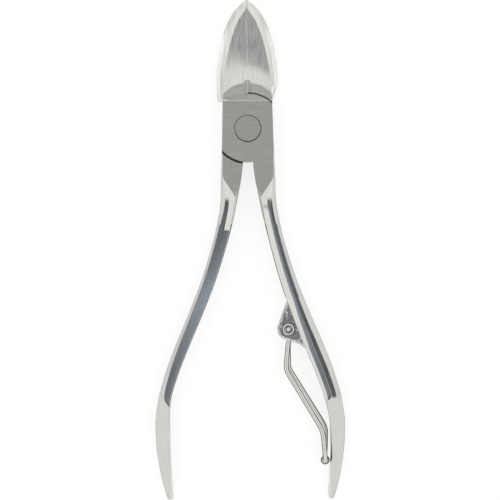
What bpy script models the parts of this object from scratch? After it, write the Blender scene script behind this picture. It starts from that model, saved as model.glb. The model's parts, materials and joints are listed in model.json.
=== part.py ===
"""Plier-type nail nipper: two lap-jointed levers, a flush pivot rivet and a folding wire spring with a roller.

The nipper lies on its back with its jaws closed. The pivot axis is the Z axis, the jaw tips point along +Y and
the handles run along -Y. The back of the joint is at z = 0 and its front face is at z = DEPTH.
The front lever is the left jaw, the front half of the joint and the right handle; the rear lever is the right
jaw, the rear half of the joint and the left handle.
Every length below is in millimetres, and MM turns it into the scene's metres.
"""

import math

import bmesh
import bpy
from mathutils import Matrix

MM = 0.001

# ---------------------------------------------------------------- joint
DEPTH = 7.0                 # thickness of the lap joint
MID = DEPTH / 2             # plane where the two half-laps meet, and the mid-plane of handles and spring
LAP_GAP = 0.15              # clearance between the half-laps
PLATE_TOP_R = 9.1           # radius of a half-lap's free edge on the jaw side of the pivot
PLATE_LOW_R = 8.75          # radius of its free edge on the handle side
SHOULDER_R = 9.35           # radius of the shoulder that the other lever's half-lap turns in
JOINT_TOP_X = 6.45          # half width of the joint at its jaw end
JOINT_LOW_X = 6.75          # half width of the joint at its handle end
JOINT_TOP_Y = 7.1           # where the flat front face ends and the jaws' ramp begins
JOINT_LOW_Y = -6.0
CORNER_CUT = 0.5            # the half-lap's corner on the jaw side is cut off by this much
RIVET_R = 3.45
BORE_R = 3.55

# ---------------------------------------------------------------- jaws
TIP_Y = 33.5
PARTING = 0.06              # half of the slit between the closed jaws
LAND = 0.5                  # depth of the flat behind each cutting edge
EDGE_BEVEL = [(7.2, 0), (12.8, 0), (17, 0.45), (33.5, 0.45)]   # sideways run behind the edge, per unit of depth
SHOULDER_Z = 6.3            # depth of the first grind, a hollow shoulder beside the joint's face
SHOULDER_Y = 12.0           # where that shoulder is lowest
SHOULDER_GRIND_R = 17.15    # radius of its curve, which climbs to the joint's face
HOLLOW_Z = 4.85             # depth of the second grind, the jaws' hollow-ground face
HOLLOW_START_R = 21.0       # distance from the pivot where the hollow starts to climb
HOLLOW_R = 30.0             # radius of its curve
THROAT_R = 0.8              # half width of the blind notch at the root of the cutting edges
THROAT_Y = 11.8
THROAT_Z = 5.9
RIM_DROP = 2.4              # depth of the polished rim beside the ground face
JAW_TOP = 7.6               # the jaws are made this deep, then ground down

JAW_HALF_WIDTH = [(7.2, 8.0), (14, 8.0), (18, 7.6), (22, 6.85), (26, 5.7), (30, 3.75), (32, 2.0), (33.5, 0.4)]
GROUND_HALF_WIDTH = [(7.2, 6.4), (13.6, 6.0), (19, 5.1), (24, 3.85), (28, 2.3), (31.8, 0.15), (33.5, 0.1)]
JAW_BACK_Z = [(7.2, 0.0), (12, 0.0), (16, 0.3), (20, 0.8), (24, 1.5), (28, 2.4), (31, 3.2), (33.5, 4.0)]

# ---------------------------------------------------------------- handles, as rows of (y, value)
HANDLE_TOP_Y = -4.0
HANDLE_END_Y = -96.7
HANDLE_CENTRE = [
    (-4, 3.8), (-12, 4.35), (-20, 5.25), (-26, 6.5), (-32, 8.15), (-40, 10.75), (-48, 13.9), (-56, 17.3),
    (-64, 20.4), (-71, 22.35), (-76, 22.85), (-82, 22.75), (-88, 22.25), (-96.7, 20.95),
]
HANDLE_WIDTH = [
    (-4, 5.9), (-12, 5.4), (-20, 4.25), (-32, 3.85), (-56, 3.75), (-71, 3.35), (-78, 3.8), (-88, 3.1),
    (-95, 1.9), (-96.7, 1.0),
]
RIDGE_Z = [                 # the front's height along the ridge between its two facets
    (-4, 7.6), (-12, 7.45), (-16, 7.0), (-18.9, 6.64), (-22, 6.54), (-27, 6.45), (-46, 6.6), (-62, 6.9),
    (-74, 6.9), (-86, 5.8), (-96.7, 4.4),
]
OUTER_RISE = [(-4, -0.45), (-12, -0.42), (-16, -0.3), (-18.9, -0.04), (-22, 0), (-96.7, 0)]   # from ridge to rim
LEFT_INNER_RISE = [(-4, 0), (-12, 0), (-16, 0.2), (-18, 0.28), (-25.8, 0.26), (-26.5, 0), (-96.7, 0)]
RIGHT_INNER_RISE = [
    (-4, 0), (-12, 0), (-16, 0.2), (-18, 0.28), (-20.5, 0), (-23, -0.3), (-62, -0.35), (-70, -0.1), (-96.7, 0),
]
LEFT_RIM = [                # width of the ground rim along the outer edge, which widens into the ground tip
    (-4, 0.3), (-12, 0.5), (-19, 1.1), (-26, 0.8), (-45, 0.95), (-62, 1.2), (-68, 1.5), (-69.5, 1.8),
    (-72.2, 3.6), (-78, 3.6), (-88, 2.8), (-96.7, 0.7),
]
RIGHT_RIM = [
    (-4, 0.3), (-12, 0.5), (-19, 1.0), (-26, 0.95), (-45, 1.3), (-55, 1.7), (-62, 2.1), (-67, 2.3),
    (-71.5, 4.0), (-78, 3.8), (-88, 2.8), (-96.7, 0.7),
]
RIM_FALL = [(-4, 0.2), (-12, 0.3), (-26, 0.5), (-67, 0.65), (-73.4, 0.8), (-78, 0.9), (-96.7, 0.5)]
INNER_EDGE = [              # width of the bevel along the inner edge
    (-4, 0.12), (-13, 0.12), (-17.5, 0.7), (-26, 0.3), (-30, 0.15), (-76, 0.15), (-81, 0.45), (-92, 0.5),
    (-96.7, 0.3),
]
HANDLE_BACK_Z = [
    (-4, -0.6), (-13, -0.45), (-18, 0.05), (-22, 0.35), (-27, 0.4), (-46, 0.2), (-60, 0), (-74, 0), (-86, 0.8),
    (-96.7, 1.9),
]
BACK_RIM = 0.8              # width of the bevel on the outer edge at the back
BACK_RIM_RISE = 0.5
PALM_RISE = 0.35            # how far the palm side's flanks lie inside the quarter points
OUTER_BULGE = 0.15          # how far the palm side stands out between its bevels
LUG_ROOT = [(-4, 0), (-24, 0), (-44, 0.9), (-60, 1.5), (-70, 1.2), (-78, 0.1), (-82, 0), (-96.7, 0)]

# ---------------------------------------------------------------- spring lug and pin
PIN_X, PIN_Y = 10.15, -52.4
PIN_R = 0.68
PIN_HALF_LENGTH = 2.45
PIN_CHAMFER = 0.25
LUG_R = 2.9
LUG_HALF_DEPTH = 2.65
LUG_FOOT_CENTRE = (10.4, -61.1)   # centre of the hollow curve between the lug and the handle
LUG_FOOT_R = 5.5
SLOT_HALF_DEPTH = 1.6
SLOT_R = 2.65
COLLAR_R = 1.62
COLLAR_CLEARANCE = 0.1
COLLAR_BORE_R = 0.8
COLLAR_RECESS_R = 1.07
COLLAR_RECESS_DEPTH = 0.7
COLLAR_PROUD = 0.15

# ---------------------------------------------------------------- wire spring and roller
WIRE_R = 0.62
EYE_R = 1.48                # radius of the eye's centreline round the pin
EYE_START = -125            # degrees, where the hook of the eye begins
EYE_HALF_SPACING = 0.78     # the two eyes sit this far either side of the mid-plane
END_HALF_SPACING = 1.95     # and the strands end this far either side of it, past the roller's ends
END_BEND_R = 0.85
FRONT_BENDS = [(10.0, -56.2), (9.4, -62.9), (18.9, -79.0)]
REAR_BENDS = [(10.1, -56.2), (10.15, -62.5), (19.8, -78.3)]
BEND_REACH = [1.0, 1.2, 1.8]      # how far each bend is rounded off
ROLLER_X, ROLLER_Y = 19.45, -86.6
ROLLER_R = 1.2
ROLLER_BORE_R = 0.75
ROLLER_HALF_LENGTH = 0.95

# ---------------------------------------------------------------- faceting
ROUND_POINTS = 48
SMALL_ROUND_POINTS = 24


# ================================================================ curves and outlines
def along(table, y):
    """The value at y of a table of (y, value) rows, on a smooth curve that does not overshoot them."""
    rows = sorted(table)
    slopes = [(b[1] - a[1]) / (b[0] - a[0]) for a, b in zip(rows, rows[1:])]
    tangents = [slopes[0]]
    for before, after in zip(slopes, slopes[1:]):
        same_way = before * after > 0
        tangents.append(2 * before * after / (before + after) if same_way else 0.0)
    tangents.append(slopes[-1])
    y = min(max(y, rows[0][0]), rows[-1][0])
    i = max(k for k in range(len(slopes)) if rows[k][0] <= y)
    width = rows[i + 1][0] - rows[i][0]
    t = (y - rows[i][0]) / width
    start = (1 + 2 * t) * (1 - t) ** 2 * rows[i][1] + t * (1 - t) ** 2 * width * tangents[i]
    end = t * t * (3 - 2 * t) * rows[i + 1][1] + t * t * (t - 1) * width * tangents[i + 1]
    return start + end


def spaced(first, last, count):
    """Evenly spaced values from first to last, both included."""
    return [first + (last - first) * k / (count - 1) for k in range(count)]


def arc(x, y, radius, start, end, count):
    """Points on a circle from one angle to another, in degrees."""
    angles = [math.radians(a) for a in spaced(start, end, count)]
    return [(x + radius * math.cos(a), y + radius * math.sin(a)) for a in angles]


def circle(x, y, radius, count):
    return arc(x, y, radius, 0, 360 * (count - 1) / count, count)


# ================================================================ solids
def add_solid(name, shape, origin=(0, 0, 0)):
    """An object from a closed bmesh, which is used up; its vertices and place are given in millimetres."""
    bmesh.ops.recalc_face_normals(shape, faces=shape.faces)
    mesh = bpy.data.meshes.new(name)
    shape.to_mesh(mesh)
    shape.free()
    mesh.transform(Matrix.Scale(MM, 4))
    mesh.shade_smooth()
    mesh.set_sharp_from_angle(angle=math.radians(30))
    thing = bpy.data.objects.new(name, mesh)
    thing.location = [value * MM for value in origin]
    bpy.context.collection.objects.link(thing)
    return thing


def skin(name, rings, origin=(0, 0, 0)):
    """A closed solid through rings of points, each with the same number of points, with flat ends."""
    shape = bmesh.new()
    loops = [[shape.verts.new(point) for point in ring] for ring in rings]
    for ring, following in zip(loops, loops[1:]):
        for k in range(len(ring)):
            after = (k + 1) % len(ring)
            shape.faces.new((ring[k], ring[after], following[after], following[k]))
    shape.faces.new(loops[0])
    shape.faces.new(reversed(loops[-1]))
    return add_solid(name, shape, origin)


def prism(name, outline, low, high, origin=(0, 0, 0)):
    """An outline in the XY plane, extruded from low to high along Z."""
    return skin(name, [[(x, y, z) for x, y in outline] for z in (low, high)], origin)


def turned(name, profile, count, origin=(0, 0, 0)):
    """A ring turned about Z from a closed profile of (radius, z) points."""
    shape = bmesh.new()
    loops = []
    for k in range(count):
        angle = 2 * math.pi * k / count
        loops.append([shape.verts.new((r * math.cos(angle), r * math.sin(angle), z)) for r, z in profile])
    for k, ring in enumerate(loops):
        following = loops[(k + 1) % count]
        for j in range(len(profile)):
            after = (j + 1) % len(profile)
            shape.faces.new((ring[j], ring[after], following[after], following[j]))
    return add_solid(name, shape, origin)


def combine(target, operation, tool):
    """Joins, keeps or cuts the target with a tool, which is then only a guide."""
    modifier = target.modifiers.new(tool.name, "BOOLEAN")
    modifier.operation = operation
    modifier.solver = "EXACT"
    modifier.object = tool
    tool.hide_render = True
    tool.display_type = "WIRE"


# ================================================================ levers
def shoulder_z(y):
    """Depth of the first grind, beside the joint's face."""
    return SHOULDER_Z + (SHOULDER_Y - y) ** 2 / (2 * SHOULDER_GRIND_R)


def hollow_z(x, y):
    """Depth of the second grind: flat towards the tips, and climbing in a curve centred on the pivot."""
    climb = max(0, HOLLOW_START_R - math.hypot(x, y))
    return HOLLOW_Z + climb ** 2 / (2 * HOLLOW_R)


def ground_z(x, y):
    """Depth of the jaws' front face."""
    shoulder = shoulder_z(y) if y < SHOULDER_Y else DEPTH
    return min(DEPTH, shoulder, hollow_z(x, y))


def handle_section(y, side, lugged):
    """A bar with two front facets, an outer rim and a rounded palm side; side is +1 for the right handle."""
    half_width = along(HANDLE_WIDTH, y) / 2
    inner = along(HANDLE_CENTRE, y) - half_width - (along(LUG_ROOT, y) if lugged else 0)
    outer = along(HANDLE_CENTRE, y) + half_width
    width = outer - inner
    edge = min(along(INNER_EDGE, y), 0.25 * width)
    rim = min(along(RIGHT_RIM if lugged else LEFT_RIM, y), width - edge - 0.06)
    ridge = inner + edge + 0.5 * (width - rim - edge)
    front = along(RIDGE_Z, y)
    front_in = front + along(RIGHT_INNER_RISE if lugged else LEFT_INNER_RISE, y)
    front_out = front + along(OUTER_RISE, y)
    back = along(HANDLE_BACK_Z, y)
    quarter = (front - back) / 4
    profile = [
        (inner + edge, front_in),
        (ridge, front),
        (outer - rim, front_out),
        (outer - OUTER_BULGE, front_out - along(RIM_FALL, y)),
        (outer - 0.2 * OUTER_BULGE, front - quarter - PALM_RISE),
        (outer, (front + back) / 2),
        (outer - 0.2 * OUTER_BULGE, back + quarter + PALM_RISE),
        (outer - OUTER_BULGE, back + BACK_RIM_RISE),
        (outer - min(BACK_RIM, 0.4 * width), back),
        (inner + edge, back),
        (inner, back + edge),
        (inner, front_in - edge),
    ]
    return [(side * x, y, z) for x, z in profile]


def handle(name, side, lugged):
    body_end = HANDLE_END_Y + 2.7
    stations = spaced(HANDLE_TOP_Y, body_end, 44) + spaced(body_end - 0.9, HANDLE_END_Y, 3)
    return skin(name, [handle_section(y, side, lugged) for y in stations])


def jaw_half_width(y, tapered_root):
    """Half width of the jaws at y. One jaw steps in squarely at its root, the other tapers to the joint."""
    half_width = along(JAW_HALF_WIDTH, y)
    corner = 0.7
    if tapered_root:
        return min(half_width, JOINT_TOP_X + 0.1 + max(0, y - 7.8) * 0.37)
    rise = min(1, max(0, (y - JOINT_TOP_Y) / corner))
    return half_width - corner * (1 - math.sqrt(1 - (1 - rise) ** 2))


def jaw_section(y, side, tapered_root):
    """Half of the closed bud: cutting edge, rim facets, rounded back and the bevel behind the edge."""
    half_width = jaw_half_width(y, tapered_root)
    ground = min(along(GROUND_HALF_WIDTH, y), half_width - 0.2)
    back = along(JAW_BACK_Z, y)
    front = ground_z(ground, y)
    drop = min(RIM_DROP, (front - back) * 0.5)
    crease = (ground + 0.5 * (half_width - ground), front - 0.36 * drop)
    rise_rate = (crease[0] - ground) / (front - crease[1])
    top_z = min(JAW_TOP, front + (ground - PARTING - 0.02) / rise_rate)
    top = (ground - rise_rate * (top_z - front), top_z)
    widest = (half_width, front - drop)
    edge_back = ground_z(0, y) - min(LAND, (front - back) * 0.4)
    bevel = PARTING + min(along(EDGE_BEVEL, y) * (edge_back - back), 0.45 * half_width)
    belly = widest[1] - back
    points = [(PARTING, top_z), top, crease, widest]
    for degrees in (30, 60):
        turn = math.radians(degrees)
        x = bevel + (half_width - bevel) * math.cos(turn) ** 0.6
        points.append((x, back + belly * (1 - math.sin(turn)) ** 1.2))
    points.append((bevel + 0.3 * (half_width - bevel), back))
    points.append((bevel, back))
    points.append((PARTING, edge_back))
    return [(side * x, y, z) for x, z in points]


def jaw(name, side, tapered_root):
    root = JOINT_TOP_Y + 0.05
    stations = [root, root + 0.25, root + 0.7] + spaced(9, 30, 13) + [31, 31.8, 32.6, 33.1, TIP_Y]
    return skin(name, [jaw_section(y, side, tapered_root) for y in stations])


def half_lap(name, side):
    """The joint's plan: round where it is free to turn in the other lever, square where it joins its own."""
    top_angle = math.degrees(math.acos((JOINT_TOP_X - CORNER_CUT) / PLATE_TOP_R))
    corner_y = PLATE_TOP_R * math.sin(math.radians(top_angle)) - 1.4 * CORNER_CUT
    low_angle = math.degrees(math.acos(JOINT_LOW_X / PLATE_LOW_R))
    outline = arc(0, 0, PLATE_TOP_R, 90, top_angle, 8)
    outline += [(JOINT_TOP_X, corner_y), (JOINT_LOW_X, JOINT_LOW_Y), (JOINT_LOW_X - 1, JOINT_LOW_Y - 2)]
    outline += arc(0, 0, PLATE_LOW_R, -80, low_angle - 180, 10)
    outline += [(-JOINT_TOP_X, JOINT_TOP_Y + 0.5), (-JOINT_TOP_X + 1, JOINT_TOP_Y + 1)]
    return prism(name, [(side * x, y) for x, y in outline], -0.5, DEPTH + 0.5)


def hollow_block(name):
    """Everything in front of the hollow-ground surface."""
    xs = spaced(-9, 9, 13)
    ys = spaced(JOINT_TOP_Y, TIP_Y + 1.5, 19)
    shape = bmesh.new()
    low = [[shape.verts.new((x, y, hollow_z(x, y))) for x in xs] for y in ys]
    high = [[shape.verts.new((x, y, JAW_TOP + 4)) for x in xs] for y in ys]
    for j in range(len(ys) - 1):
        for k in range(len(xs) - 1):
            shape.faces.new((low[j][k], low[j][k + 1], low[j + 1][k + 1], low[j + 1][k]))
            shape.faces.new((high[j][k], high[j + 1][k], high[j + 1][k + 1], high[j][k + 1]))
    for j in range(len(ys) - 1):
        for k in (0, -1):
            shape.faces.new((low[j][k], low[j + 1][k], high[j + 1][k], high[j][k]))
    for k in range(len(xs) - 1):
        for j in (0, -1):
            shape.faces.new((low[j][k], low[j][k + 1], high[j][k + 1], high[j][k]))
    return add_solid(name, shape)


def shoulder_block(name):
    """Everything in front of the shoulder, from the joint's face to where the hollow takes over."""
    curve = [(y, shoulder_z(y)) for y in spaced(JOINT_TOP_Y, SHOULDER_Y, 7)]
    profile = curve + [(TIP_Y, SHOULDER_Z), (TIP_Y, JAW_TOP + 3), (JOINT_TOP_Y, JAW_TOP + 3)]
    return skin(name, [[(x, y, z) for y, z in profile] for x in (-10, 10)])


def throat_outline():
    """A notch that is round at the cutting edges and open towards the joint."""
    root = PLATE_TOP_R - 0.3
    return arc(0, THROAT_Y, THROAT_R, 0, 180, 9) + [(-THROAT_R, root), (THROAT_R, root)]


def lug_outline():
    """The lug's rounded nose about the pin, and its flanks running into the handle."""
    flank = [(12.6, -44.0), (9.8, -45.0)]
    nose = arc(PIN_X, PIN_Y, LUG_R, 154, 264, 10)
    foot = arc(*LUG_FOOT_CENTRE, LUG_FOOT_R, 88, 25, 6)
    return flank + nose + foot + [(18.0, -62.5)]


def slot_outline():
    """The slot for the spring's eyes: round towards the handle, open towards the nose and downwards."""
    closed_side = arc(PIN_X, PIN_Y, SLOT_R, -20, 165, 12)
    return closed_side + [(4.0, PIN_Y + 0.7), (4.0, -64.0), (PIN_X + 2.5, -64.0)]


def lever(name, side, front):
    """One forging: side is the side its handle is on, and its jaw is on the other side."""
    body = handle(name, side, lugged=front)
    combine(body, "UNION", half_lap(name + "_plate_guide", side))
    combine(body, "UNION", jaw(name + "_jaw_guide", -side, tapered_root=not front))
    if front:
        combine(body, "UNION", prism("lug_guide", lug_outline(), MID - LUG_HALF_DEPTH, MID + LUG_HALF_DEPTH))
    slab = [(-30, -100), (30, -100), (30, 40), (-30, 40)]
    combine(body, "INTERSECT", prism(name + "_slab", slab, 0, DEPTH))
    recess_z = (-1, MID + LAP_GAP / 2) if front else (MID - LAP_GAP / 2, DEPTH + 1)
    combine(body, "DIFFERENCE", prism(name + "_recess", circle(0, 0, SHOULDER_R, ROUND_POINTS * 2), *recess_z))
    return body


def spring_lug_cuts(body):
    slot = prism("spring_slot", slot_outline(), MID - SLOT_HALF_DEPTH, MID + SLOT_HALF_DEPTH)
    combine(body, "DIFFERENCE", slot)
    hole = circle(PIN_X, PIN_Y, COLLAR_R + COLLAR_CLEARANCE, SMALL_ROUND_POINTS)
    combine(body, "DIFFERENCE", prism("collar_hole", hole, -1, DEPTH + 1))


def levers():
    front_lever = lever("front_lever", 1, front=True)
    rear_lever = lever("rear_lever", -1, front=False)
    tools = [
        shoulder_block("shoulder_grind"),
        hollow_block("hollow_grind"),
        prism("pivot_bore", circle(0, 0, BORE_R, ROUND_POINTS), -1, DEPTH + 1),
        prism("throat", throat_outline(), THROAT_Z, DEPTH + 1),
    ]
    for body in (front_lever, rear_lever):
        for tool in tools:
            combine(body, "DIFFERENCE", tool)
    spring_lug_cuts(front_lever)
    return front_lever, rear_lever


# ================================================================ rivet, pin, collars, spring, roller
def pivot_rivet():
    return prism("pivot_rivet", circle(0, 0, RIVET_R, ROUND_POINTS), 0, DEPTH)


def spring_pin():
    """A pin with chamfered ends, which sit in the collars' recesses."""
    ends = [(-PIN_HALF_LENGTH, PIN_CHAMFER), (-PIN_HALF_LENGTH + PIN_CHAMFER, 0)]
    levels = ends + [(-z, inset) for z, inset in reversed(ends)]
    rings = [[(x, y, z) for x, y in circle(0, 0, PIN_R - inset, SMALL_ROUND_POINTS)] for z, inset in levels]
    return skin("spring_pin", rings, (PIN_X, PIN_Y, MID))


def spring_collar(name, face):
    """A stepped ring set in one cheek of the lug; face is +1 for the front cheek and -1 for the rear one."""
    inner = SLOT_HALF_DEPTH + 0.1
    outer = LUG_HALF_DEPTH + COLLAR_PROUD
    floor = outer - COLLAR_RECESS_DEPTH
    profile = [
        (COLLAR_BORE_R, inner), (COLLAR_R, inner), (COLLAR_R, outer),
        (COLLAR_RECESS_R, outer), (COLLAR_RECESS_R, floor), (COLLAR_BORE_R, floor),
    ]
    return turned(name, [(r, face * z) for r, z in profile], SMALL_ROUND_POINTS, (PIN_X, PIN_Y, MID))


def strand(bends):
    """One strand of the wire from its eye to the cross piece, as (x, y, offset from the mid-plane) points."""
    points = [(x, y, EYE_HALF_SPACING) for x, y in arc(PIN_X, PIN_Y, EYE_R, EYE_START, -350, 14)]
    corners = bends + [(ROLLER_X, ROLLER_Y + END_BEND_R)]
    depth_at = [EYE_HALF_SPACING + 0.05, 1.0, END_HALF_SPACING, END_HALF_SPACING]
    route = [points[-1]] + [(x, y, depth) for (x, y), depth in zip(corners, depth_at)]
    points += rounded(route, BEND_REACH)[1:]
    return points


def rounded(route, reaches):
    """The route with each inner corner rounded off over the given distance along its sides."""
    points = [route[0]]
    for before, corner, after, reach in zip(route, route[1:], route[2:], reaches):
        leave = toward(corner, before, reach)
        join = toward(corner, after, reach)
        for t in spaced(0, 1, 6):
            weights = ((1 - t) ** 2, 2 * t * (1 - t), t * t)
            points.append(tuple(sum(w * p[k] for w, p in zip(weights, (leave, corner, join))) for k in range(3)))
    points.append(route[-1])
    return points


def toward(start, end, distance):
    share = distance / math.dist(start, end)
    return tuple(a + (b - a) * share for a, b in zip(start, end))


def spring_wire():
    """One hairpin of wire: a hooked eye, a strand, the cross piece in the roller, a strand and a hooked eye."""
    front = strand(FRONT_BENDS)
    rear = [(x, y, -depth) for x, y, depth in strand(REAR_BENDS)]
    turn = []
    for angle in (30, 60, 90):
        a = math.radians(angle)
        depth = END_HALF_SPACING - END_BEND_R * (1 - math.cos(a))
        turn.append((ROLLER_X, ROLLER_Y + END_BEND_R * (1 - math.sin(a)), depth))
    path = front + turn + [(x, y, -depth) for x, y, depth in reversed(turn)] + list(reversed(rear))
    curve = bpy.data.curves.new("spring_wire", "CURVE")
    curve.dimensions = "3D"
    curve.bevel_depth = WIRE_R * MM
    curve.bevel_resolution = 2
    curve.resolution_u = 1
    curve.render_resolution_u = 0
    curve.use_fill_caps = True
    spline = curve.splines.new("POLY")
    spline.points.add(len(path) - 1)
    for point, (x, y, depth) in zip(spline.points, path):
        point.co = ((x - PIN_X) * MM, (y - PIN_Y) * MM, depth * MM, 1)
    thing = bpy.data.objects.new("spring_wire", curve)
    bpy.context.collection.objects.link(thing)
    return thing


def spring_roller():
    """A barrel roller that turns on the wire's cross piece."""
    barrel = 0.25
    profile = [
        (ROLLER_BORE_R, -ROLLER_HALF_LENGTH), (ROLLER_R - barrel, -ROLLER_HALF_LENGTH),
        (ROLLER_R, -ROLLER_HALF_LENGTH * 0.5), (ROLLER_R, ROLLER_HALF_LENGTH * 0.5),
        (ROLLER_R - barrel, ROLLER_HALF_LENGTH), (ROLLER_BORE_R, ROLLER_HALF_LENGTH),
    ]
    place = (ROLLER_X - PIN_X, ROLLER_Y - PIN_Y, 0)
    return turned("spring_roller", profile, SMALL_ROUND_POINTS, place)


def spring():
    """The wire and its roller hang on one empty, which sits on the pin's axis."""
    axis = bpy.data.objects.new("spring_axis", None)
    axis.location = (PIN_X * MM, PIN_Y * MM, MID * MM)
    bpy.context.collection.objects.link(axis)
    wire = spring_wire()
    roller = spring_roller()
    for piece in (wire, roller):
        piece.parent = axis
    return wire, roller


# ================================================================ materials
def steel(name, colour, roughness):
    material = bpy.data.materials.new(name)
    material.use_nodes = True
    shader = material.node_tree.nodes["Principled BSDF"]
    shader.inputs["Base Color"].default_value = (*colour, 1)
    shader.inputs["Metallic"].default_value = 1.0
    shader.inputs["Roughness"].default_value = roughness
    return material


def finish(thing, colour, roughness):
    """Each piece has its own steel."""
    thing.data.materials.append(steel(thing.name + "_steel", colour, roughness))


def main():
    for thing in list(bpy.data.objects):
        bpy.data.objects.remove(thing)
    front_lever, rear_lever = levers()
    wire, roller = spring()
    finish(front_lever, (0.62, 0.63, 0.62), 0.25)
    finish(rear_lever, (0.60, 0.61, 0.61), 0.25)
    finish(pivot_rivet(), (0.50, 0.50, 0.49), 0.35)
    finish(spring_pin(), (0.55, 0.55, 0.55), 0.2)
    finish(spring_collar("spring_collar_front", 1), (0.75, 0.75, 0.74), 0.15)
    finish(spring_collar("spring_collar_rear", -1), (0.75, 0.75, 0.74), 0.15)
    finish(wire, (0.68, 0.68, 0.66), 0.12)
    finish(roller, (0.66, 0.65, 0.62), 0.15)


main()
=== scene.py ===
"""Looks for the plier-type nail nipper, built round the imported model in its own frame.

The nipper lies on its back: the pivot is the Z axis, the jaws point along +Y and the front looks along +Z.
Each CAD piece is replaced by a finer one of the same size, with eased edges and ground, satin, forged and
polished faces. Shapes are worked out in millimetres, and MM turns them into the frame's metres.
"""

import json
import math

import bmesh
import bpy
from mathutils import Matrix, Vector


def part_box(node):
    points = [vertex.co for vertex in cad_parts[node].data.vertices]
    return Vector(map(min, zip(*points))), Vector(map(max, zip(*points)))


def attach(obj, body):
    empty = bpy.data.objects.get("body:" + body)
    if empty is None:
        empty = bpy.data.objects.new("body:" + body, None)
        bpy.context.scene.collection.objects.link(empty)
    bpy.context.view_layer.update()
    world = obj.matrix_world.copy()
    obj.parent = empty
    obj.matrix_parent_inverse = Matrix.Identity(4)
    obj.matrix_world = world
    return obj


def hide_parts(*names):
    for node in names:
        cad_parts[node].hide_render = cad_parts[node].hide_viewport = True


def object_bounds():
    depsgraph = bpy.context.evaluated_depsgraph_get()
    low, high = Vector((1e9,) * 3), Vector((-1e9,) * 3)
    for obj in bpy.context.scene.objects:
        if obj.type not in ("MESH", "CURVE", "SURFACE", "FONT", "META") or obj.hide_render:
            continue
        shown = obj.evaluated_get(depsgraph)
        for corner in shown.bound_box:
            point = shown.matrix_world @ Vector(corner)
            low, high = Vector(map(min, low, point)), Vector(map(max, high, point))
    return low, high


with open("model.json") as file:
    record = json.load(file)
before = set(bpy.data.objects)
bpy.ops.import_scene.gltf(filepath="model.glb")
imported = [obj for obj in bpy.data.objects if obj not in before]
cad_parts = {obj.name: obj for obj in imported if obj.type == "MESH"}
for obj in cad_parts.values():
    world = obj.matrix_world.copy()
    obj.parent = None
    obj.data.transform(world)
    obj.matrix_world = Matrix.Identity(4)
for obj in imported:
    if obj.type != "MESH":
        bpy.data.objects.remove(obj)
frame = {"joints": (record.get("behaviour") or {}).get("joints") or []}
cad_low, cad_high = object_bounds()

MM = 0.001


def joint_place(name):
    """Where the record puts a joint, in millimetres."""
    joint = next(j for j in frame["joints"] if j["name"] == name)
    return [value / MM for value in joint["pos_m"]]


# ---------------------------------------------------------------- joint
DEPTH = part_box("pivot_rivet")[1].z / MM
MID = DEPTH / 2
LAP_GAP = 0.15              # clearance between the half-laps
PLATE_TOP_R = 9.03          # radius of a half-lap's free edge on the jaw side of the pivot
PLATE_LOW_R = 8.75          # radius of its free edge on the handle side
SHOULDER_R = 9.35           # radius of the shoulder that the other lever's half-lap turns in
JOINT_TOP_X = 6.45          # half width of the joint at its jaw end
JOINT_LOW_X = 6.75          # half width of the joint at its handle end
JOINT_TOP_Y = 7.1           # where the flat front face ends and the jaws begin
JOINT_LOW_Y = -6.0
CORNER_CUT = 0.5            # the half-lap's corner on the jaw side is cut off by this much
CORNER_RUN = 1.4 * CORNER_CUT     # and over this length of its side
RIVET_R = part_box("pivot_rivet")[1].x / MM
BORE_R = RIVET_R + 0.03
RING_R = RIVET_R - 0.11           # the rivet's ground end, a hair smaller than its shank
BORE_MOUTH_R = RIVET_R + 0.08     # the eased mouth of the bore, whose walls take painted shade, seen as a dark ring round the rivet
BORE_MOUTH_DEPTH = 0.7
BORE_MOUTH_SHIFT = (0.03, -0.07)  # the mouth is this far off centre

# ---------------------------------------------------------------- jaws
TIP_Y = cad_high.y / MM
PARTING = 0.026             # half of the slit between the closed jaws
LAND = 0.5                  # depth of the flat behind each cutting edge
LAND_SHARE = 0.4            # and at most this share of the jaw's thickness
EDGE_BEVEL = [(7.2, 0), (12.8, 0), (17, 0.45), (33.5, 0.45)]   # its run behind the edge, per unit of depth
BEVEL_SHARE = 0.45          # and at most this share of the jaw's half width
SHOULDER_Z = 6.3            # height of the first grind, a flat shoulder beside the joint's face
FACE_CHAMFER = (0.3, 0.17)  # how far the chamfer on the joint's top edge reaches and drops
HOLLOW_Z = 5.1              # height of the second grind, the jaws' hollow-ground face
ARCH_Y = 3.3                # centre of the arch where the hollow has climbed to the shoulder
ARCH_R = 8.5
HOLLOW_START = 22.0         # distance from the arch's centre where the hollow starts to climb
HOLLOW_POWER = 5.6          # the climb's power on the centre line
HOLLOW_LEAN = 0.7           # and how much it grows with x, which makes the climb on the right start later
HOLLOW_LEAST_POWER = 3.0
THROAT_R = 0.85             # half width of the blind notch at the root of the cutting edges
THROAT_Y = 11.8
THROAT_Z = 5.9              # height of its floor
RIM_DROP = 2.4              # how far the polished rim falls from the ground face to the jaw's widest point
CREASE_DROP = 0.27          # share of that fall on the inner of the rim's two facets
CREASE_ROUND = 0.2          # how far the crease between them is rounded off
LEAST_RIM = 0.2             # the rim is at least this wide
BACK_FLAT = 0.2             # share of the jaw's back that is flat
BELLY_WIDTH_POWER = 0.6     # powers of the cosine and the sine that shape the round of the back
BELLY_DEPTH_POWER = 1.2
WIDEST_POINT = 6            # number of the jaw section's widest point, where its back begins
ROOT_CORNER_R = 0.7         # the corner of the square root is rounded by this radius
TAPER_ROOT = 0.1            # the tapered root stands out this far past the joint
TAPER_START_Y = 7.8
TAPER_RATE = 0.37
JAW_TOP = 7.6               # the jaws are made this deep, then ground down
TOP_MARGIN = 0.02           # and up there they keep this clear of the slit

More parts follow.
